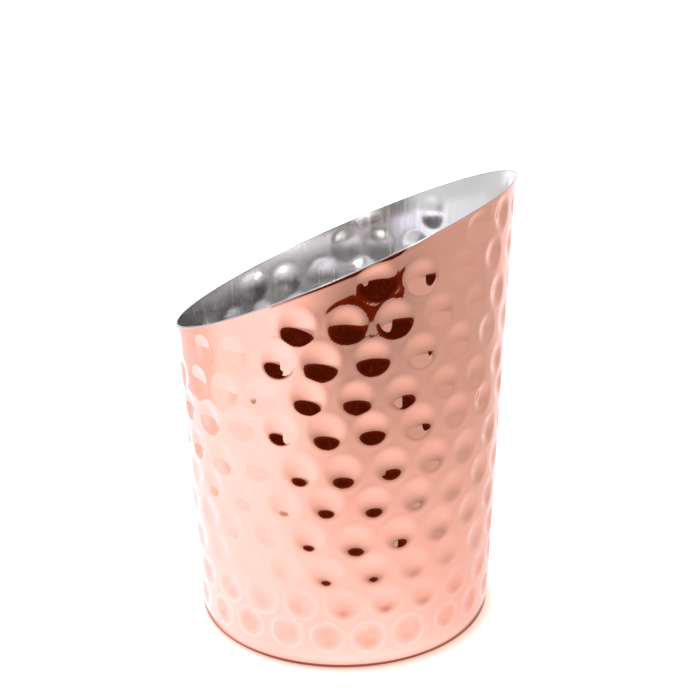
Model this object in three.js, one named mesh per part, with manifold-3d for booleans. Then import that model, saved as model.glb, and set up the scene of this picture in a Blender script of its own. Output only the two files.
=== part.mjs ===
// A slant-topped, single-bottle champagne bucket: a hammered copper skin over a
// stainless steel liner. Millimetres, +Z up. The origin is the centre of the foot,
// on the table, and the high side of the mouth points along +X.
import * as THREE from "three";
import { mergeVertices } from "three/addons/utils/BufferGeometryUtils.js";
import Module from "manifold-3d";

const wasm = await Module();
wasm.setup();

// Driving dimensions
const FOOT_RADIUS = 75; // where the line of the outer wall meets the table
const WALL_LEAN = THREE.MathUtils.degToRad(2.05); // each side leans out by this much
const MOUTH_HEIGHT = 188; // height of the mouth's plane on the bucket's axis
const MOUTH_TILT = THREE.MathUtils.degToRad(23.85);
const SKIN = 0.4; // thickness of the copper skin and of the steel liner
const GAP = 0.3; // running gap between neighbouring pieces
const CORNER_RADIUS = 3; // outside of the bottom corner
const FLANGE_WIDTH = 12; // the part of the copper wall that is turned in under the base

// Base plate and liner floor, both pressed up in the middle
const DISH_RISE = 1.5;
const DISH_INNER_RADIUS = 50;
const DISH_OUTER_RADIUS = 57;
const PAN_HEIGHT = 9; // the liner floor's turned-up edge, above the table
const BASE_PLATE_CLEARANCE = 2.6; // from the line of the outer wall to the plate's edge

// Joints
const WELD_WIDTH = 1; // filler in the seams and in the ring joint of the liner
const RIM_BEAD_HEIGHT = 0.5;
const SEAM_AZIMUTH = THREE.MathUtils.degToRad(34.5); // from the high side, about +Z

// Resolution
const ROUND_STEPS = 96;
const CORNER_STEPS = 4;
const DISH_STEPS = 3;
const TOOL_SIZE = 400; // cutting tools are larger than the bucket

const copper = new THREE.MeshStandardMaterial({ color: 0xf2b49c, roughness: 0.1, metalness: 1 });
const braze = new THREE.MeshStandardMaterial({ color: 0xd99a80, roughness: 0.25, metalness: 1 });
const steel = new THREE.MeshStandardMaterial({ color: 0xc9cbcc, roughness: 0.15, metalness: 1 });
const weld = new THREE.MeshStandardMaterial({ color: 0xb4b6b8, roughness: 0.3, metalness: 1 });

// Radius at height z of the surface that lies `depth` inside the outer wall's face.
function wallRadius(z, depth = 0) {
  return FOOT_RADIUS + z * Math.tan(WALL_LEAN) - depth / Math.cos(WALL_LEAN);
}

// The bottom corner as an arc, from the flat underside up to the leaning wall.
// floorZ is the height of the underside of the outermost face of this corner.
function cornerArc(floorZ, faceDepth, radius, inset) {
  const centreZ = floorZ + radius;
  const centreR = wallRadius(centreZ, faceDepth) - radius / Math.cos(WALL_LEAN);
  const points = [];
  for (let i = 0; i <= CORNER_STEPS; i++) {
    const angle = -Math.PI / 2 + (i / CORNER_STEPS) * (Math.PI / 2 - WALL_LEAN);
    const reach = radius - inset;
    points.push([centreR + reach * Math.cos(angle), centreZ + reach * Math.sin(angle)]);
  }
  return points;
}

// Height of the pressed-up middle above the flat ring around it.
function dishLift(r) {
  const t = THREE.MathUtils.smoothstep(r, DISH_INNER_RADIUS, DISH_OUTER_RADIUS);
  return DISH_RISE * (1 - t);
}

// One face of a dished disc, from the axis out to the flat ring.
function dishFace(z) {
  const points = [[0, z + DISH_RISE]];
  for (let i = 0; i <= DISH_STEPS; i++) {
    const r = THREE.MathUtils.lerp(DISH_INNER_RADIUS, DISH_OUTER_RADIUS, i / DISH_STEPS);
    points.push([r, z + dishLift(r)]);
  }
  return points;
}

// Revolves a closed outline of [radius, height] points about Z.
function revolve(outline) {
  const profile = outline.map(([r, z]) => new THREE.Vector2(r, z));
  profile.push(profile[0].clone());
  return new THREE.LatheGeometry(profile, ROUND_STEPS).rotateX(Math.PI / 2);
}

function toSolid(geometry) {
  const bare = geometry.clone();
  bare.deleteAttribute("normal");
  bare.deleteAttribute("uv");
  const merged = mergeVertices(bare, 1e-4);
  return new wasm.Manifold(
    new wasm.Mesh({
      numProp: 3,
      vertProperties: merged.attributes.position.array,
      triVerts: new Uint32Array(merged.index.array),
    }),
  );
}

function toGeometry(solid) {
  const mesh = solid.getMesh();
  const geometry = new THREE.BufferGeometry();
  geometry.setAttribute("position", new THREE.BufferAttribute(mesh.vertProperties, 3));
  geometry.setIndex(new THREE.BufferAttribute(mesh.triVerts, 1));
  geometry.computeVertexNormals();
  return geometry;
}

// Everything higher than the plane `below` millimetres under the mouth's plane.
function aboveMouth(below) {
  const block = new THREE.BoxGeometry(TOOL_SIZE, TOOL_SIZE, TOOL_SIZE);
  block.translate(0, 0, TOOL_SIZE / 2 - below);
  block.rotateY(-MOUTH_TILT);
  block.translate(0, 0, MOUTH_HEIGHT);
  return toSolid(block);
}

// A thin upright slab that crosses the wall at the seam.
function seamSlab(width) {
  const slab = new THREE.BoxGeometry(FOOT_RADIUS, width, TOOL_SIZE);
  slab.translate(FOOT_RADIUS, 0, 0);
  slab.rotateZ(SEAM_AZIMUTH);
  return toSolid(slab);
}

const wallTop = MOUTH_HEIGHT + FOOT_RADIUS; // walls are made too tall, then cut
const linerDepth = SKIN + GAP;
const boreDepth = linerDepth + SKIN;
const skinCut = aboveMouth(RIM_BEAD_HEIGHT + GAP);
const seamSlot = seamSlab(WELD_WIDTH + 2 * GAP);
const seamFiller = seamSlab(WELD_WIDTH);

// Copper wall: a leaning tube whose lower edge is turned in as a flat foot ring.
function outerWallSheet() {
  const flangeInner = FOOT_RADIUS - FLANGE_WIDTH;
  return toSolid(
    revolve([
      [flangeInner, 0],
      ...cornerArc(0, 0, CORNER_RADIUS, 0),
      [wallRadius(wallTop), wallTop],
      [wallRadius(wallTop, SKIN), wallTop],
      ...cornerArc(0, 0, CORNER_RADIUS, SKIN).reverse(),
      [flangeInner, SKIN],
    ]),
  ).subtract(skinCut);
}

// Copper base plate, which lies on the turned-in foot ring.
function basePlate() {
  const under = SKIN + GAP;
  const edge = FOOT_RADIUS - BASE_PLATE_CLEARANCE;
  return revolve([
    ...dishFace(under),
    [edge, under],
    [edge, under + SKIN],
    ...dishFace(under + SKIN).reverse(),
  ]);
}

// Steel floor of the liner: a dished pan with a turned-up edge.
function linerFloor() {
  const under = 2 * (SKIN + GAP);
  return revolve([
    ...dishFace(under),
    ...cornerArc(under, linerDepth, CORNER_RADIUS, 0),
    [wallRadius(PAN_HEIGHT, linerDepth), PAN_HEIGHT],
    [wallRadius(PAN_HEIGHT, boreDepth), PAN_HEIGHT],
    ...cornerArc(under, linerDepth, CORNER_RADIUS, SKIN).reverse(),
    ...dishFace(under + SKIN).reverse(),
  ]);
}

// A band of the leaning wall between two heights and two depths.
function wallBand(low, high, outerDepth, innerDepth) {
  return revolve([
    [wallRadius(low, outerDepth), low],
    [wallRadius(high, outerDepth), high],
    [wallRadius(high, innerDepth), high],
    [wallRadius(low, innerDepth), low],
  ]);
}

const weldLow = PAN_HEIGHT + GAP;
const weldHigh = weldLow + WELD_WIDTH;
const linerLow = weldHigh + GAP;

const outerWall = outerWallSheet();
const linerWall = toSolid(wallBand(linerLow, wallTop, linerDepth, boreDepth)).subtract(skinCut);
const rimBand = toSolid(wallBand(linerLow, wallTop, 0, boreDepth))
  .subtract(aboveMouth(0))
  .intersect(aboveMouth(RIM_BEAD_HEIGHT));

const bucket = new THREE.Group();

function add(name, geometry, material) {
  const mesh = new THREE.Mesh(geometry, material);
  mesh.name = name;
  bucket.add(mesh);
}

add("outer_wall", toGeometry(outerWall.subtract(seamSlot)), copper);
add("outer_seam_braze", toGeometry(outerWall.intersect(seamFiller)), braze);
add("base_plate", basePlate(), copper);
add("liner_wall", toGeometry(linerWall.subtract(seamSlot)), steel);
add("liner_seam_weld", toGeometry(linerWall.intersect(seamFiller)), weld);
add("liner_floor", linerFloor(), steel);
add("liner_floor_weld", wallBand(weldLow, weldHigh, linerDepth, boreDepth), weld);
add("rim_bead", toGeometry(rimBand), steel);

export default bucket;
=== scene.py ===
"""A slant-topped champagne bucket: a hammered copper skin over a hammered steel liner.

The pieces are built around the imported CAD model. Metres, +Z up, the origin in the middle of the
foot, and the high side of the mouth towards +X. Azimuths are measured about +Z from +X.
"""

import math

import bmesh
import bpy
import numpy as np
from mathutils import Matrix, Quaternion, Vector


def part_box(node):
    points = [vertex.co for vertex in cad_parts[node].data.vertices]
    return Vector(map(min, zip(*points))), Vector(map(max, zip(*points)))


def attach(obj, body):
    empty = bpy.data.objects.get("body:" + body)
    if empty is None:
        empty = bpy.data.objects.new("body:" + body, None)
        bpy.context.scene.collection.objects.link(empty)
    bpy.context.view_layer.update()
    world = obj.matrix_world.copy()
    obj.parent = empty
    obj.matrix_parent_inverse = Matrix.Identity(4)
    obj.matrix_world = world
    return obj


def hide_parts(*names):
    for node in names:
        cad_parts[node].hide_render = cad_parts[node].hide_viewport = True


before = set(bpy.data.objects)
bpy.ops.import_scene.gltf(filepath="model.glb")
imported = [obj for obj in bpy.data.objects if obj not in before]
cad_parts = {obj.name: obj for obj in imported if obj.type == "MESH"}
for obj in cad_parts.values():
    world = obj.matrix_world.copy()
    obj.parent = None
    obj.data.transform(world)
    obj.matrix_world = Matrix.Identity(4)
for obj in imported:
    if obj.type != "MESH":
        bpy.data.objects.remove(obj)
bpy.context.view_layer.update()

MM = 0.001

# Sizes read from the frame
RIM_LOW, RIM_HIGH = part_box("rim_bead")
RING_LOW, RING_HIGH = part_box("liner_floor_weld")
PLATE_LOW, PLATE_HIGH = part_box("base_plate")
PAN_LOW, PAN_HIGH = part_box("liner_floor")
LAYER = PLATE_LOW.z  # one skin and the gap behind it
LEAN = (RIM_HIGH.x - RING_HIGH.x - LAYER) / (RIM_HIGH.z - RING_HIGH.z)
FOOT_RADIUS = RIM_HIGH.x - RIM_HIGH.z * LEAN
LOW_SIDE_Z = (-RIM_LOW.x - FOOT_RADIUS) / LEAN
MOUTH_SLOPE = (RIM_HIGH.z - LOW_SIDE_Z) / (RIM_HIGH.x - RIM_LOW.x)
MOUTH_HEIGHT = RIM_HIGH.z - MOUTH_SLOPE * RIM_HIGH.x  # of the mouth's plane, on the axis
MOUTH_NORMAL = Vector((-MOUTH_SLOPE, 0, 1)).normalized()

# Sheet metal
SKIN = 0.4 * MM
WALL = LAYER + SKIN  # both skins and the gap between them
DISH_RISE = PLATE_HIGH.z - PLATE_LOW.z - SKIN  # of the pressed-up middle of both floors
CORNER_RADIUS = 3 * MM
FLANGE_WIDTH = 12 * MM
DISH_INNER_RADIUS = 50 * MM  # that middle ends here
DISH_OUTER_RADIUS = 57 * MM  # and the level ring round it starts here
SEAM_AZIMUTH = math.radians(34.5)
SEAM_WIDTH = 0.7 * MM
SEAM_RIPPLE = 1.1 * MM  # from one ripple of the weld to the next
RIM_HEIGHT = 0.6 * MM
RIM_OVERLAP = 1.08  # the rim bead is this much thicker than the two skins and the gap
RIM_SQUARENESS = 0.75  # below 1, its section is a rounded square and not an ellipse
FLARE = 0.6 * MM  # both walls turn out by this much at the mouth
FLARE_HEIGHT = 12 * MM
RIM_CLOSING = 0.25 * MM  # the gap between the skins closes by this much at the mouth
RIM_TUCK = 0.2 * MM  # the copper's last edge is turned in under the rim bead
LINER_SPREAD = 0.7 * MM  # the liner's bumps are this much wider than the copper's pits
LINER_EASE = 0.22 * MM  # and this much lower, so that the two skins nearly touch there

# The hammered pattern: rows of round pits, each row moved on by half a pit
PIT_PITCH = math.radians(15.2)
PIT_ROW_PITCH = 17.05 * MM
PIT_FIRST_ROW = 18.6 * MM
PIT_ROWS = 13
ROW_FAN = 0.03  # the rows lie this much further apart on the high side, and closer on the low side
PIT_RADIUS = 8.5 * MM
PIT_DEPTH = 1.5 * MM
PIT_FROM_RIM = 5.5 * MM
RIM_STIFF = 5 * MM  # the pits fade out over this distance from the mouth
PIT_AZIMUTH = math.radians(-71.3)  # of one pit in the first row
PLAIN_BAND = math.radians(14)  # half the width of the band beside the seam that has no pits

# The first rows are shallower and smaller, because the bottom corner is stiff. Both are shares.
FIRST_ROW_PRESS = 0.74
PRESS_GAIN = 0.07  # from one row to the next, up to 1
FIRST_ROW_SIZE = 0.86
SIZE_GAIN = 0.08

# The scatter of hand work, as standard deviations: first of whole rows, then of single pits
ROW_ASIDE = 0.08  # of the pitch
ROW_RISE = 0.8 * MM
ROW_PRESS = 0.07
PIT_ASIDE = 0.03  # of the pitch
PIT_RISE = 0.5 * MM
PIT_SIZE = 0.035
PIT_PRESS = 0.06

# Round each pit, in shares of its radius
RIDGE = 0.05  # metal pushed up, as a share of the pit's depth
RIDGE_AT = 1.07
RIDGE_WIDTH = 0.11
HIGHLIGHT_RING_AT = 1.05  # where a painted highlight ring lightens the ridge
HIGHLIGHT_RING_WIDTH = 0.09
HIGHLIGHT_RING_SHARE = 0.7
PIT_SHADE_WITHIN = 0.5  # painted shade darkens the pit most inside this

LAND_WAVE = 0.06 * MM
LAND_PROUD = 0.45 * MM  # the metal between the pits stands outside the CAD wall, the pits inside it

# Fineness of the two hammered skins
WALL_COLUMNS = 414
WALL_ROWS = 170

rng = np.random.default_rng(145972)


# ---------------------------------------------------------------- shape of the walls


def wall_radius(z, depth=0.0):
    """Radius at height z of the surface that lies `depth` inside the copper wall's face."""
    return FOOT_RADIUS + z * LEAN - depth * math.hypot(1, LEAN)


def mouth_z(azimuth, depth, below=0.0):
    """Height where the wall surface meets the plane `below` under the mouth's plane."""
    start = MOUTH_HEIGHT - below / MOUTH_NORMAL.z
    reach = MOUTH_SLOPE * np.cos(azimuth)
    return (start + reach * wall_radius(0, depth)) / (1 - reach * LEAN)


def make_pits():
    """Azimuth, height, radius and depth of every pit, with a hand-made scatter."""
    pits = []
    first = SEAM_AZIMUTH - 2 * math.pi + PLAIN_BAND
    last = SEAM_AZIMUTH - PLAIN_BAND
    before = int((PIT_AZIMUTH - first) / PIT_PITCH)
    after = int((last - PIT_AZIMUTH) / PIT_PITCH)
    for row in range(PIT_ROWS):
        row_shift = rng.normal(0, ROW_ASIDE)
        row_z = PIT_FIRST_ROW + row * PIT_ROW_PITCH + rng.normal(0, ROW_RISE)
        row_press = PIT_DEPTH * (1 + rng.normal(0, ROW_PRESS))
        row_press = row_press * min(1, FIRST_ROW_PRESS + PRESS_GAIN * row)
        row_radius = PIT_RADIUS * min(1, FIRST_ROW_SIZE + SIZE_GAIN * row)
        scatter = rng.normal(0, 1, (before + after + 1, 4))
        for column, (aside, rise, wider, deeper) in zip(range(-before, after + 1), scatter):
            place = column - 0.5 * (row % 2) + row_shift + PIT_ASIDE * aside
            azimuth = PIT_AZIMUTH + place * PIT_PITCH
            z = row_z * (1 + ROW_FAN * math.cos(azimuth)) + PIT_RISE * rise
            radius = row_radius * (1 + PIT_SIZE * wider)
            press = row_press * (1 + PIT_PRESS * deeper)
            room = (mouth_z(azimuth, 0) - z) * MOUTH_NORMAL.z
            if room > PIT_FROM_RIM and first < azimuth < last:
                pits.append((azimuth, z, radius, press))
    return pits


def turned(azimuth, start):
    """The turn from one azimuth to another, from -pi to pi."""
    return (azimuth - start + math.pi) % (2 * math.pi) - math.pi


PITS = make_pits()


def hump(value, middle, width):
    """1 at the middle, falling smoothly to 0 on both sides."""
    return np.exp(-(((value - middle) / width) ** 2))


def pit_profile(share):
    """Depth of a pit `share` of its radius out: 1 in its middle, 0 at its edge, then a ridge."""
    inside = np.minimum(share, 1)
    return 1 - (3 * inside**2 - inside**6) / 2 - RIDGE * hump(share, RIDGE_AT, RIDGE_WIDTH)


def smooth_step(value, start, end):
    """0 at start, 1 at end, and smooth between them."""
    t = np.clip((value - start) / (end - start), 0, 1)
    return t * t * (3 - 2 * t)


def mixed(first, second, share):
    """A value between two values, or between two arrays of them."""
    return first + (second - first) * share


def turned_out(azimuth, z):
    """How far the land of the wall stands outside the CAD wall."""
    to_rim = mouth_z(azimuth, 0) - z
    flare = FLARE * np.clip(1 - to_rim / FLARE_HEIGHT, 0, 1) ** 2
    return flare + LAND_PROUD * smooth_step(z, CORNER_RADIUS, 3 * CORNER_RADIUS)


def closing(azimuth, z):
    """How far the liner moves out to meet the copper near the mouth."""
    return RIM_CLOSING * np.clip(1 - (mouth_z(azimuth, 0) - z) / FLARE_HEIGHT, 0, 1) ** 2


def shares(azimuth, z, spread=0.0):
    """For every pit: how far out these places are, as a share of its radius, and its depth."""
    for pit_azimuth, pit_z, radius, press in PITS:
        reach = turned(azimuth, pit_azimuth) * wall_radius(pit_z)
        yield np.hypot(reach, z - pit_z) / (radius + spread), press


def hammered(azimuth, z, spread=0.0, ease=0.0):
    """How far inside the CAD wall a skin is, its pits wider by spread and shallower by ease."""
    wave = np.sin(3 * azimuth + 40 * z) + np.sin(5 * azimuth - 55 * z + 1)
    pressed = LAND_WAVE * wave / 2 - turned_out(azimuth, z)
    free = smooth_step(mouth_z(azimuth, 0) - z, 0, RIM_STIFF)
    for share, press in shares(azimuth, z, spread):
        pressed = pressed + free * (press - ease) * pit_profile(share)
    return pressed


def painted_pit_light(azimuth, z):
    """Above 0 where painted shade darkens a pit and below 0 where a painted highlight ring lightens
    its ridge, mostly near the foot.
    """
    inside, ridge = 0 * z, 0 * z
    for share, _ in shares(azimuth, z):
        inside = np.maximum(inside, 1 - smooth_step(share, PIT_SHADE_WITHIN, 1))
        ridge = np.maximum(ridge, hump(share, HIGHLIGHT_RING_AT, HIGHLIGHT_RING_WIDTH))
    strength = mixed(1, 0.08, smooth_step(z, 22 * MM, 48 * MM))
    return strength * (inside - HIGHLIGHT_RING_SHARE * ridge * (1 - inside))


# ---------------------------------------------------------------- mesh helpers


def to_piece(name, verts, faces, replaced):
    """A closed mesh as a piece that stands for a CAD node."""
    mesh = bpy.data.meshes.new(name)
    mesh.from_pydata(np.asarray(verts).tolist(), [], faces)
    build = bmesh.new()
    build.from_mesh(mesh)
    bmesh.ops.recalc_face_normals(build, faces=build.faces)
    if build.calc_volume(signed=True) < 0:
        bmesh.ops.reverse_faces(build, faces=build.faces)
    build.to_mesh(mesh)
    build.free()
    mesh.polygons.foreach_set("use_smooth", [True] * len(mesh.polygons))
    mesh.set_sharp_from_angle(angle=math.radians(50))
    piece = bpy.data.objects.new(name, mesh)
    bpy.context.scene.collection.objects.link(piece)
    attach(piece, "root")
    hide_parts(replaced)
    return piece


def polar(azimuth, radius, z):
    """Points from cylinder coordinates, as rows of x, y, z."""
    azimuth, radius, z = np.broadcast_arrays(azimuth, radius, z)
    return np.stack([radius * np.cos(azimuth), radius * np.sin(azimuth), z], axis=-1)


def grid_faces(ids):
    """Quads between the vertices of a grid of indices."""
    corners = (ids[:-1, :-1], ids[:-1, 1:], ids[1:, 1:], ids[1:, :-1])
    return np.stack([c.ravel() for c in corners], axis=-1).tolist()


def ring_faces(rows, columns):
    """Quads over a grid of vertices that closes on itself both ways."""
    ids = np.arange(rows * columns).reshape(rows, columns)
    ids = np.vstack([ids, ids[:1]])
    return grid_faces(np.hstack([ids, ids[:, :1]]))


def border(ids):
    """The indices round the edge of a grid, as one closed path."""
    return np.concatenate([ids[0, :], ids[1:, -1], ids[-1, -2::-1], ids[-2::-1, 0]]).tolist()


def two_faced(fine, coarse):
    """A closed sheet from a fine grid of points and one with every other row and column."""
    fine_ids = np.arange(fine.shape[0] * fine.shape[1]).reshape(fine.shape[:2])
    coarse_ids = np.arange(coarse.shape[0] * coarse.shape[1]).reshape(coarse.shape[:2])
    coarse_ids = coarse_ids + fine_ids.size
    faces = grid_faces(fine_ids) + grid_faces(coarse_ids)
    near, far = border(fine_ids), border(coarse_ids)
    for i in range(len(far) - 1):
        a, b, c = near[2 * i], near[2 * i + 1], near[2 * i + 2]
        d, e = far[i], far[i + 1]
        faces += [(a, b, d), (b, e, d), (b, c, e)]
    return np.concatenate([fine.reshape(-1, 3), coarse.reshape(-1, 3)]), faces


def revolved(outline, columns, ripple=None):
    """A ring or disc: a closed outline of (radius, height) turned about Z."""
    azimuth = np.linspace(0, 2 * math.pi, columns, endpoint=False)
    outline = np.array(outline)
    if ripple is None:
        radius = np.repeat(outline[:, :1], columns, axis=1)
        height = np.repeat(outline[:, 1:], columns, axis=1)
    else:
        radius, height = ripple(azimuth, outline[:, :1], outline[:, 1:])
    verts = polar(azimuth, radius, height).reshape(-1, 3)
    return verts, ring_faces(len(outline), columns)


# ---------------------------------------------------------------- pieces


def corner_arc(floor_z, face_depth, radius, inset, steps):
    """The bottom corner, from the flat underside up to the leaning wall."""
    lean = math.atan(LEAN)
    centre_z = floor_z + radius
    centre_r = wall_radius(centre_z, face_depth) - radius / math.cos(lean)
    angles = np.linspace(-math.pi / 2, -lean, steps)
    reach = radius - inset
    return centre_r + reach * np.cos(angles), centre_z + reach * np.sin(angles)


def wall_azimuths():
    """Once round the wall, from one side of the seam to the other."""
    half_seam = SEAM_WIDTH / 2 / FOOT_RADIUS
    start = SEAM_AZIMUTH + half_seam
    end = SEAM_AZIMUTH - half_seam + 2 * math.pi
    return np.linspace(start, end, WALL_COLUMNS + 1)


def copper_wall():
    """The hammered outer skin, with its bottom corner and turned-in foot ring."""
    arc_rows, flange_rows = 9, 6
    azimuth = wall_azimuths()

    def face(depth, azimuth, skip):
        arc_r, arc_z = corner_arc(0, 0, CORNER_RADIUS, depth, arc_rows)
        flange_r = np.linspace(FOOT_RADIUS - FLANGE_WIDTH, arc_r[0], flange_rows, endpoint=False)
        base_r = np.concatenate([flange_r, arc_r])[:, None] + 0 * azimuth
        base_z = np.concatenate([np.full(flange_rows, arc_z[0]), arc_z])[:, None] + 0 * azimuth
        top = mouth_z(azimuth, depth, RIM_HEIGHT / 2)
        t = np.linspace(0, 1, WALL_ROWS + 1)[1:, None]
        wall_z = arc_z[-1] + t * (top - arc_z[-1])
        wall_r = wall_radius(wall_z, depth) - hammered(azimuth, wall_z)
        wall_r[-1] -= RIM_TUCK
        z = np.vstack([base_z, wall_z])
        return polar(azimuth, np.vstack([base_r, wall_r]), z)[::skip], painted_pit_light(azimuth, z)[::skip]

    outside, tone = face(0, azimuth, 1)
    inside, _ = face(SKIN, azimuth[::2], 2)
    verts, faces = two_faced(outside, inside)
    piece = to_piece("hammered_copper_wall", verts, faces, "outer_wall")
    # The pits' painted light, stored on the vertices: painted shade inside them, a painted
    # highlight ring on their ridges
    values = np.zeros(len(verts), dtype=np.float32)
    values[: tone.size] = tone.ravel()
    piece.data.attributes.new("painted_pit_light", "FLOAT", "POINT").data.foreach_set("value", values)
    return piece


def steel_wall():
    """The hammered liner, whose pits stand out as round bumps on the inside."""
    azimuth = wall_azimuths()

    def face(depth, azimuth, skip):
        top = mouth_z(azimuth, depth, RIM_HEIGHT / 2)
        t = np.linspace(0, 1, WALL_ROWS + 1)[:, None]
        z = RING_HIGH.z + t * (top - RING_HIGH.z)
        radius = wall_radius(z, depth) - hammered(azimuth, z, LINER_SPREAD, LINER_EASE)
        return polar(azimuth, radius + closing(azimuth, z), z)[::skip]

    verts, faces = two_faced(face(WALL, azimuth, 1), face(LAYER, azimuth[::2], 2))
    return to_piece("hammered_steel_liner", verts, faces, "liner_wall")


def rim():
    """The rounded bead that closes both skins round the mouth."""
    columns, around = 720, 20
    azimuth = np.linspace(0, 2 * math.pi, columns, endpoint=False)
    proud = FLARE + LAND_PROUD
    outer_z, inner_z = mouth_z(azimuth, 0), mouth_z(azimuth, WALL)
    outer = polar(azimuth, wall_radius(outer_z) + proud, outer_z)
    inner = polar(azimuth, wall_radius(inner_z, WALL) + proud + RIM_CLOSING, inner_z)
    up = np.array(MOUTH_NORMAL) * RIM_HEIGHT / 2
    centre = (outer + inner) / 2 - up
    across = (outer - inner) / 2 * RIM_OVERLAP
    rings = []
    for angle in np.linspace(0, 2 * math.pi, around, endpoint=False):
        c, s = math.cos(angle), math.sin(angle)
        outward = math.copysign(abs(c) ** RIM_SQUARENESS, c)
        upward = math.copysign(abs(s) ** RIM_SQUARENESS, s)
        rings.append(centre + across * outward + up * upward)
    verts = np.array(rings).reshape(-1, 3)
    faces = ring_faces(around, columns)
    return to_piece("rolled_rim_bead", verts, faces, "rim_bead")


def seam_strip(name, replaced, face_depth, back_depth, low, crown, ripple=0, moved=None):
    """A thin upright joint that follows the hammered wall and stands out by `crown`."""
    columns, rows = 6, 340
    half = SEAM_WIDTH / 2 / FOOT_RADIUS
    across = np.linspace(-1, 1, columns + 1)
    azimuth = SEAM_AZIMUTH + half * across

    def face(depth, proud, skip):
        top = mouth_z(azimuth, depth, RIM_HEIGHT / 2)
        t = np.linspace(0, 1, rows + 1)[:, None]
        z = low + t * (top - low)
        bead = proud * (1 - across**2) * (1 + ripple * np.sin(z * 2 * math.pi / SEAM_RIPPLE))
        radius = wall_radius(z, depth) - hammered(azimuth, z) + bead
        if moved is not None:
            radius = radius + moved(azimuth, z)
        return polar(azimuth, radius, z)[::skip, ::skip]

    verts, faces = two_faced(face(face_depth, crown, 1), face(back_depth, 0, 2))
    return to_piece(name, verts, faces, replaced)


def copper_seam():
    """The filler in the seam of the copper skin, from the bottom corner to the mouth."""
    return seam_strip(
        "brazed_copper_seam",
        "outer_seam_braze",
        face_depth=0,
        back_depth=SKIN,
        low=CORNER_RADIUS,
        crown=0.02 * MM,
    )


def steel_seam():
    """The ground weld of the liner, from the ring weld to the mouth."""
    return seam_strip(
        "welded_liner_seam",
        "liner_seam_weld",
        face_depth=WALL,
        back_depth=LAYER,
        low=RING_HIGH.z,
        crown=-0.01 * MM,
        ripple=0.2,
        moved=closing,
    )


def dish_lift(radius):
    """Height of a floor's pressed-up middle above the level ring around it."""
    return DISH_RISE * (1 - smooth_step(radius, DISH_INNER_RADIUS, DISH_OUTER_RADIUS))


def dished_disc(edge_r, edge_z, rim_points=()):
    """Outline of one face of a floor, from near the axis to its edge, then `rim_points`."""
    near_axis = 0.02 * MM  # not 0, where the faces would have no area
    margin = 2 * MM
    steps = 12
    middle = np.linspace(margin, DISH_INNER_RADIUS - margin, steps)
    slope = np.linspace(DISH_INNER_RADIUS, DISH_OUTER_RADIUS, steps)
    radii = np.concatenate([[near_axis], middle, slope, [edge_r]])
    return [(r, edge_z + dish_lift(r)) for r in radii] + list(rim_points)


def base_plate():
    """The copper plate that lies on the foot ring."""
    edge = PLATE_HIGH.x
    bevel = 0.3 * MM
    under = dished_disc(edge - bevel, PLATE_LOW.z)
    over = dished_disc(edge, PLATE_LOW.z + SKIN)
    verts, faces = revolved(under + over[::-1], 192)
    return to_piece("spun_base_plate", verts, faces, "base_plate")


def liner_floor():
    """The steel pan that closes the bottom of the liner."""
    arc_rows = 10
    under_r, under_z = corner_arc(PAN_LOW.z, LAYER, CORNER_RADIUS, 0, arc_rows)
    over_r, over_z = corner_arc(PAN_LOW.z, LAYER, CORNER_RADIUS, SKIN, arc_rows)
    top = PAN_HIGH.z
    edge = [(wall_radius(top, LAYER), top), (wall_radius(top, WALL), top)]
    step = 1 * MM  # from the last ring of the level part to the corner
    under = dished_disc(under_r[0] - step, PAN_LOW.z, zip(under_r, under_z))
    over = dished_disc(over_r[0] - step, PAN_LOW.z + SKIN, zip(over_r, over_z))
    verts, faces = revolved(under + edge + over[::-1], 240)
    return to_piece("spun_steel_floor", verts, faces, "liner_floor")


def floor_weld():
    """The rippled ring of weld between the liner's wall and its floor."""
    middle_z = (RING_LOW.z + RING_HIGH.z) / 2
    half_height = (RING_HIGH.z - RING_LOW.z) / 2 + 0.3 * MM  # over the edges of wall and floor
    crown = 0.2 * MM  # inside the liner's face
    middle_depth = (LAYER + WALL + crown) / 2
    half_depth = SKIN / 2 + crown / 2
    outline = []
    for angle in np.linspace(0, 2 * math.pi, 14, endpoint=False):
        z = middle_z + half_height * math.sin(angle)
        depth = middle_depth - half_depth * math.cos(angle)
        outline.append((wall_radius(z, depth), z))

    ripples = 380
    relief = 0.04 * MM

    def ripple(azimuth, radius, z):
        wave = relief * np.sin(azimuth * ripples + np.sin(azimuth * 7))
        return radius - wave, z + 0 * azimuth

    verts, faces = revolved(outline, 1520, ripple)
    return to_piece("rippled_floor_weld", verts, faces, "liner_floor_weld")


# ---------------------------------------------------------------- materials


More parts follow.
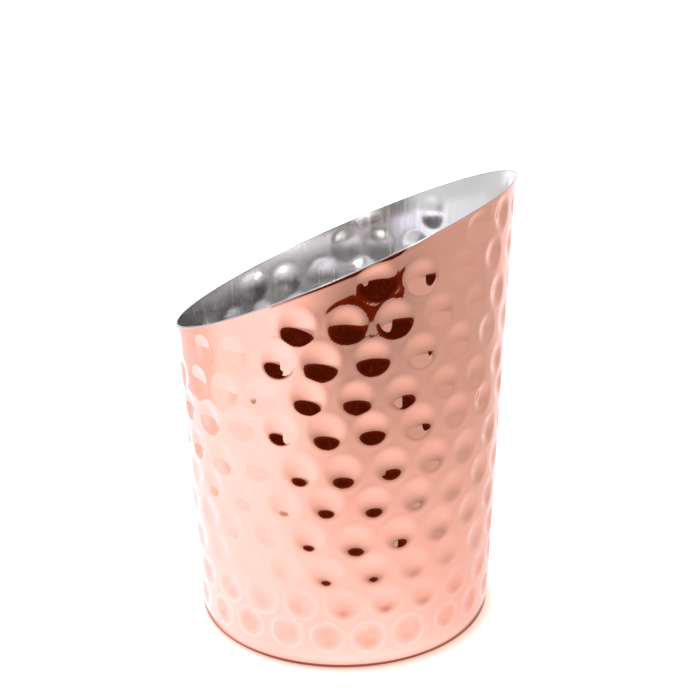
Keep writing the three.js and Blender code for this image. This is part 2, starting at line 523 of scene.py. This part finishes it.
class Surface:
    """A Principled shader, a polished metal unless told otherwise, with short ways to drive it."""

    def __init__(self, name, metallic=1.0):
        self.material = bpy.data.materials.new(name)
        self.material.use_nodes = True
        self.nodes = self.material.node_tree.nodes
        self.links = self.material.node_tree.links
        self.shader = self.nodes["Principled BSDF"]
        self.shader.inputs["Metallic"].default_value = metallic
        self.place = self.add("ShaderNodeTexCoord").outputs["Object"]
        self.last_bump = None

    def add(self, kind, **settings):
        node = self.nodes.new(kind)
        for key, value in settings.items():
            setattr(node, key, value)
        return node

    def noise(self, stretch, detail=2.0, roughness=0.5):
        """Noise whose grains per metre along X, Y and Z are `stretch`."""
        mapping = self.add("ShaderNodeMapping")
        mapping.inputs["Scale"].default_value = stretch
        self.links.new(self.place, mapping.inputs["Vector"])
        noise = self.add("ShaderNodeTexNoise")
        noise.inputs["Scale"].default_value = 1.0
        noise.inputs["Detail"].default_value = detail
        noise.inputs["Roughness"].default_value = roughness
        self.links.new(mapping.outputs["Vector"], noise.inputs["Vector"])
        return noise.outputs["Fac"]

    def rings(self, pitch, distortion):
        """Concentric lines about Z, `pitch` metres apart."""
        wave = self.add("ShaderNodeTexWave", wave_type="RINGS", rings_direction="Z")
        wave.inputs["Scale"].default_value = math.pi / 10 / pitch
        wave.inputs["Distortion"].default_value = distortion
        wave.inputs["Detail"].default_value = 2.0
        wave.inputs["Detail Scale"].default_value = 2.0
        self.links.new(self.place, wave.inputs["Vector"])
        return wave.outputs["Fac"]

    def ramp(self, value, low, high, start, end):
        """`value` from low to high, as a number from start to end."""
        node = self.add("ShaderNodeMapRange", clamp=True)
        node.inputs["From Min"].default_value = low
        node.inputs["From Max"].default_value = high
        node.inputs["To Min"].default_value = start
        node.inputs["To Max"].default_value = end
        self.links.new(value, node.inputs["Value"])
        return node.outputs["Result"]

    def height(self):
        """Height above the table."""
        split = self.add("ShaderNodeSeparateXYZ")
        self.links.new(self.place, split.inputs["Vector"])
        return split.outputs["Z"]

    def combine(self, operation, a, b):
        """The sum or product of two numbers, or sockets."""
        node = self.add("ShaderNodeMath", operation=operation)
        for socket, value in zip(node.inputs, (a, b)):
            if isinstance(value, (int, float)):
                socket.default_value = value
            else:
                self.links.new(value, socket)
        return node.outputs["Value"]

    def blend(self, share, first, second):
        """A colour between two colours, or sockets."""
        node = self.add("ShaderNodeMix", data_type="RGBA")
        self.links.new(share, node.inputs["Factor"])
        for socket, value in ((node.inputs[6], first), (node.inputs[7], second)):
            if isinstance(value, tuple):
                socket.default_value = (*value, 1.0)
            else:
                self.links.new(value, socket)
        return node.outputs[2]

    def colour(self, socket):
        self.links.new(socket, self.shader.inputs["Base Color"])

    def roughness(self, socket):
        self.links.new(socket, self.shader.inputs["Roughness"])

    def bump(self, height, distance):
        """Adds relief of `distance` metres."""
        node = self.add("ShaderNodeBump")
        node.inputs["Distance"].default_value = distance
        self.links.new(height, node.inputs["Height"])
        if self.last_bump is not None:
            self.links.new(self.last_bump, node.inputs["Normal"])
        self.last_bump = node.outputs["Normal"]
        self.links.new(self.last_bump, self.shader.inputs["Normal"])


COPPER = (0.95, 0.465, 0.35)
COPPER_DEEP = (0.93, 0.44, 0.325)
# Painted shade for the pits' insides, and a painted highlight for the rings on their ridges
COPPER_PIT_SHADE = (0.90, 0.37, 0.265)
COPPER_RING_HIGHLIGHT = (0.97, 0.58, 0.47)
STEEL = (0.84, 0.83, 0.82)
STEEL_DARK = (0.76, 0.75, 0.742)


def polished_copper():
    metal = Surface("polished_copper")
    tone = metal.noise((28, 28, 28), detail=3.0)
    land = metal.blend(metal.ramp(tone, 0.35, 0.65, 0, 1), COPPER_DEEP, COPPER)
    mottle = metal.ramp(metal.noise((160, 160, 160), detail=3.0), 0.38, 0.6, 0.45, 1.1)
    # Painted light near the foot: painted shade darkens the pits and a painted highlight lightens
    # their ridges
    pits = metal.add("ShaderNodeAttribute", attribute_name="painted_pit_light").outputs["Fac"]
    pits = metal.combine("MULTIPLY", pits, mottle)
    colour = metal.blend(metal.ramp(pits, 0, 1, 0, 1), land, COPPER_PIT_SHADE)
    metal.colour(metal.blend(metal.ramp(pits, 0, -1, 0, 1), colour, COPPER_RING_HIGHLIGHT))
    smear = metal.ramp(metal.noise((45, 45, 12), detail=4.0), 0.35, 0.75, 0.035, 0.075)
    foot = metal.ramp(metal.height(), 0.5 * MM, 5 * MM, 0.12, 0.0)
    metal.roughness(metal.combine("ADD", smear, foot))
    metal.bump(metal.noise((900, 900, 160), detail=3.0), 0.002 * MM)
    return metal.material


def rim_steel():
    metal = Surface("rim_steel")
    tone = metal.noise((60, 60, 60), detail=3.0)
    metal.colour(metal.blend(tone, (0.42, 0.38, 0.35), (0.52, 0.48, 0.45)))
    metal.roughness(metal.ramp(metal.noise((300, 300, 300)), 0.3, 0.7, 0.12, 0.25))
    metal.bump(metal.noise((1500, 1500, 1500)), 0.003 * MM)
    return metal.material


def brazed_copper():
    metal = Surface("brazed_copper")
    tone = metal.noise((200, 200, 60), detail=3.0)
    metal.colour(metal.blend(tone, (0.80, 0.40, 0.26), (0.90, 0.55, 0.36)))
    metal.roughness(metal.ramp(metal.noise((500, 500, 200)), 0.3, 0.7, 0.16, 0.30))
    metal.bump(metal.noise((1500, 1500, 400)), 0.004 * MM)
    return metal.material


def spun_copper():
    metal = Surface("spun_copper")
    tone = metal.noise((40, 40, 40), detail=4.0)
    metal.colour(metal.blend(tone, COPPER_DEEP, COPPER))
    lines = metal.rings(0.6 * MM, 1.5)
    scuffs = metal.noise((70, 70, 70), detail=6.0, roughness=0.7)
    metal.roughness(metal.ramp(scuffs, 0.3, 0.75, 0.16, 0.42))
    metal.bump(lines, 0.006 * MM)
    metal.bump(metal.noise((1200, 1200, 1200)), 0.003 * MM)
    return metal.material


def drawn_steel():
    metal = Surface("drawn_steel")
    streaks = metal.noise((420, 420, 6), detail=3.0)
    cloud = metal.noise((30, 30, 12), detail=3.0)
    metal.colour(metal.blend(metal.ramp(cloud, 0.35, 0.7, 0, 1), STEEL_DARK, STEEL))
    gloss = metal.ramp(streaks, 0.3, 0.7, 0.18, 0.28)
    metal.roughness(gloss)
    metal.bump(streaks, 0.004 * MM)
    return metal.material


def spun_steel():
    metal = Surface("spun_steel")
    cloud = metal.noise((40, 40, 40), detail=4.0)
    metal.colour(metal.blend(cloud, STEEL_DARK, STEEL))
    lines = metal.rings(0.5 * MM, 1.0)
    metal.roughness(metal.ramp(cloud, 0.3, 0.7, 0.16, 0.28))
    metal.bump(lines, 0.005 * MM)
    return metal.material


def weld_steel():
    metal = Surface("weld_steel")
    tint = metal.noise((90, 90, 90), detail=3.0)
    share = metal.ramp(tint, 0.35, 0.65, 0, 1)
    metal.colour(metal.blend(share, (0.50, 0.49, 0.50), (0.62, 0.58, 0.50)))
    metal.roughness(metal.ramp(metal.noise((400, 400, 400)), 0.3, 0.7, 0.22, 0.40))
    metal.bump(metal.noise((1400, 1400, 1400)), 0.006 * MM)
    return metal.material


def ground_weld():
    metal = Surface("ground_weld")
    cloud = metal.noise((200, 200, 60), detail=3.0)
    metal.colour(metal.blend(cloud, STEEL_DARK, STEEL))
    metal.roughness(metal.ramp(metal.noise((500, 500, 60)), 0.3, 0.7, 0.22, 0.34))
    metal.bump(metal.noise((1400, 1400, 200)), 0.003 * MM)
    return metal.material


def painted(piece, material):
    """Gives a piece its material."""
    piece.data.materials.clear()
    piece.data.materials.append(material)


painted(copper_wall(), polished_copper())
painted(rim(), rim_steel())
painted(base_plate(), spun_copper())
painted(steel_wall(), drawn_steel())
painted(liner_floor(), spun_steel())
painted(floor_weld(), weld_steel())
painted(copper_seam(), brazed_copper())
painted(steel_seam(), ground_weld())


# ---------------------------------------------------------------- stage, light and camera


CAMERA_DISTANCE = 8.4 * FOOT_RADIUS
CAMERA_LENS = 59.05  # millimetres, as Blender wants it
CAMERA_BEHIND = -8.82  # the bucket's heading from the camera, in degrees
CAMERA_HEADING = -8.39  # where it looks, a little to the right of the bucket
CAMERA_RISE = math.radians(29.52)  # elevation of the camera, seen from the middle of the foot
CAMERA_PITCH = math.radians(17.71)  # how far it looks down
CAMERA_ROLL = math.radians(-0.57)
VIEWER = math.radians(8.41 - 90)  # azimuth of the bucket's side that faces the camera

FLOOR_PALE = (0.92, 0.92, 0.92)
FLOOR_COPPER_REFLECTION = (0.62, 0.44, 0.38)  # painted pink reflection of the copper on the floor beside the foot
FLOOR_SHADE = (0.32, 0.19, 0.15)  # what the metal sees of the floor under its bottom corner
DARK_ROOM = (0.062, 0.010, 0.002)
WINDOW = (14.0, 14.0, 14.0)
WARM = np.array([1, 0.93, 0.9])  # the tint of the room round the windows


def heading(degrees):
    """Unit vector on the floor, turned clockwise by `degrees` from +Y."""
    return Vector((math.sin(math.radians(degrees)), math.cos(math.radians(degrees)), 0))


def make_camera():
    """A camera a little above the mouth, turned slightly towards the high side."""
    away = heading(CAMERA_BEHIND)
    data = bpy.data.cameras.new("camera")
    data.lens = CAMERA_LENS
    data.sensor_width = 36
    camera = bpy.data.objects.new("camera", data)
    height = Vector((0, 0, math.sin(CAMERA_RISE) * CAMERA_DISTANCE))
    camera.location = height - away * math.cos(CAMERA_RISE) * CAMERA_DISTANCE
    down = Vector((0, 0, -math.sin(CAMERA_PITCH)))
    look = heading(CAMERA_HEADING) * math.cos(CAMERA_PITCH) + down
    camera.rotation_mode = "QUATERNION"
    camera.rotation_quaternion = look.to_track_quat("-Z", "Y") @ Quaternion((0, 0, 1), CAMERA_ROLL)
    bpy.context.scene.collection.objects.link(camera)
    bpy.context.scene.camera = camera


def from_viewer(turn, distance, z=0.0):
    """A point `turn` degrees round from the viewer's side of the bucket, + to the right."""
    return polar(VIEWER + np.radians(turn), distance, z)


def glow_material(name):
    """Light in the colour that the mesh's own "glow" gives."""
    material = bpy.data.materials.new(name)
    material.use_nodes = True
    nodes, links = material.node_tree.nodes, material.node_tree.links
    nodes.clear()
    level = nodes.new("ShaderNodeAttribute")
    level.attribute_name = "glow"
    shine = nodes.new("ShaderNodeEmission")
    out = nodes.new("ShaderNodeOutputMaterial")
    links.new(level.outputs["Vector"], shine.inputs["Color"])
    links.new(shine.outputs["Emission"], out.inputs["Surface"])
    return material


def glow_card(name, points, colour):
    """A grid of points that glows in `colour`, and that only shiny surfaces can see."""
    ids = np.arange(points.shape[0] * points.shape[1]).reshape(points.shape[:2])
    mesh = bpy.data.meshes.new(name)
    mesh.from_pydata(points.reshape(-1, 3).tolist(), [], grid_faces(ids))
    colours = np.broadcast_to(colour, points.shape).astype(np.float32)
    glow = mesh.attributes.new("glow", "FLOAT_VECTOR", "POINT")
    glow.data.foreach_set("vector", colours.ravel())
    mesh.materials.append(glow_material(name))
    card = bpy.data.objects.new(name, mesh)
    bpy.context.scene.collection.objects.link(card)
    card.visible_camera = False
    card.visible_diffuse = False
    card.visible_shadow = False
    card.visible_transmission = False


def light_colour(level):
    """White light that turns cooler as it gets brighter."""
    level = np.asarray(level, dtype=float)[..., None]
    cool = np.clip(level - 0.8, 0, 1)
    return level * (1 + cool * np.array([0.0, -0.04, 0.16]))


def floor_glow():
    """The floor as the metal sees it: bright by the foot and on the left, dimmer on the right."""
    distance = np.geomspace(0.070, 4.0, 180)[:, None]
    turn = np.linspace(-180, 180, 145)[None, :]
    far = smooth_step(distance, 0.45, 0.75)
    front = 1.86 * np.exp(-distance / 0.38) + 0.25 * hump(distance, 0.075, 0.013)
    left = mixed(1.63, 0.66, far)
    right = 0.66 + 0.42 * hump(distance, 0, 0.28)
    back_right = 1.2
    back_left = mixed(1.5, 0.80, far)
    level = mixed(front, left, smooth_step(-turn, -10, 52))
    level = mixed(level, right, smooth_step(turn, 10, 73))
    level = mixed(level, back_right, smooth_step(turn, 105, 150))
    level = mixed(level, back_left, smooth_step(-turn, 135, 165))

    # The foot shades the floor right beside it, furthest out on the viewer's side
    edge = 0.0757 + 0.0017 * np.clip(np.cos(np.radians(turn)), 0, 1)
    softness = 0.0016
    contact = smooth_step(distance, edge, edge + softness)[..., None]
    shade = np.array(FLOOR_SHADE) * (1 + smooth_step(-turn, 20, 60))[..., None]
    points = from_viewer(turn, distance, 0.05 * MM)
    glow_card("floor_glow", points, mixed(shade, light_colour(level), contact))


def room_glow():
    """The pale room round the sides and the back: dimmer on the right, and low down on the left."""
    distance, height = 0.9, 1.2
    turns = [38, 118, 145, 185, 215, 302]
    levels = [0.70, 0.70, 1.15, 1.3, 1.55, 1.3]
    turn = np.linspace(turns[0], turns[-1], 133)[None, :]
    z = np.linspace(0, height, 49)[:, None]
    level = np.interp(turn, turns, levels) * (1 + 0.2 * smooth_step(z, 0.3, 0.9))
    low_left = smooth_step(turn, 195, 215) * (1 - smooth_step(z, 0.35, 0.75))
    level = mixed(level, 0.72, low_left)
    glow_card("room_glow", from_viewer(turn, distance, z), light_colour(level))


def left_glow():
    """A low bright card on the left, which the copper sees and the steel mostly looks over."""
    distance, height = 0.36, 0.155
    turn = np.linspace(-135, -42, 47)[None, :]
    z = np.linspace(0, height, 9)[:, None]
    level = mixed(1.5, 1.1, smooth_step(-turn, 75, 100))
    glow_card("left_glow", from_viewer(turn, distance, z), light_colour(level + 0 * z))


def upper_room():
    """What is above and behind the dark room, with two tall bright windows in it."""
    room_distance, window_distance = 1.2, 0.95
    turn = np.linspace(-58, 38, 49)[None, :]
    z = np.linspace(0.05, 1.8, 36)[:, None]
    level = mixed(0.11, 0.50, smooth_step(z, 0.35, 0.9)) + 0 * turn
    glow_card("upper_room", from_viewer(turn, room_distance, z), light_colour(level) * WARM)
    sill, lintel = 0.39, 1.30
    z = np.linspace(sill, lintel, 5)[:, None]
    for name, start, end in (("left_window", -30, -22), ("right_window", 26, 37)):
        turn = np.linspace(start, end, 5)[None, :]
        glow_card(name, from_viewer(turn, window_distance, z), WINDOW)


def dark_room():
    """The dark room beyond the front edge of the table, which isn't square to the view."""
    ahead, distance = 15, 0.55  # of its nearest point: degrees from the viewer, and metres
    height = 0.28
    along = np.linspace(-1.7, 0.235, 96)[None, :, None]
    z = np.linspace(0, height, 15)[:, None, None]
    points = from_viewer(ahead, distance) + along * from_viewer(ahead + 90, 1.0)
    points = points + z * np.array([0, 0, 1])
    streaks = np.sin(38 * along + 3 * np.sin(17 * along)) * np.sin(11 * along + 20 * z)
    level = 1 + 0.7 * np.clip(streaks, 0, 1) + 1.2 * (1 - smooth_step(z, 0, 0.07))
    glow_card("dark_room", points, level * np.array(DARK_ROOM))


def floor_surface():
    """Pale, with a painted pink reflection of the copper close to it, more so on the right."""
    pale = Surface("floor", metallic=0.0)
    away = pale.add("ShaderNodeVectorMath", operation="DISTANCE")
    away.inputs[1].default_value = (3 * MM, -1 * MM, 0)
    pale.links.new(pale.place, away.inputs[0])
    pink_within, pale_beyond = 72 * MM, 88 * MM
    share = pale.ramp(away.outputs["Value"], pink_within, pale_beyond, 0, 1)
    tint = pale.blend(share, FLOOR_COPPER_REFLECTION, FLOOR_PALE)
    pale.colour(tint)
    # The floor glows evenly in these colours, so the painted reflection glows too
    pale.links.new(tint, pale.shader.inputs["Emission Color"])
    pale.shader.inputs["Roughness"].default_value = 0.9
    pale.shader.inputs["Emission Strength"].default_value = 0.75
    return pale.material


def make_floor():
    """A plain pale floor."""
    mesh = bpy.data.meshes.new("floor")
    size, z = 40, -0.1 * MM
    corners = [(-size, -size, z), (size, -size, z), (size, size, z), (-size, size, z)]
    mesh.from_pydata(corners, [], [(0, 1, 2, 3)])
    mesh.materials.append(floor_surface())
    floor = bpy.data.objects.new("floor", mesh)
    bpy.context.scene.collection.objects.link(floor)


def light_the_scene():
    """Soft white light from everywhere, and what the polished metal mirrors."""
    world = bpy.data.worlds.new("studio")
    bpy.context.scene.world = world
    world.use_nodes = True
    background = world.node_tree.nodes["Background"]
    background.inputs["Color"].default_value = (1, 1, 1, 1)
    background.inputs["Strength"].default_value = 1.5
    make_floor()
    floor_glow()
    dark_room()
    room_glow()
    left_glow()
    upper_room()


make_camera()
light_the_scene()
bpy.context.scene.view_settings.view_transform = "Standard"
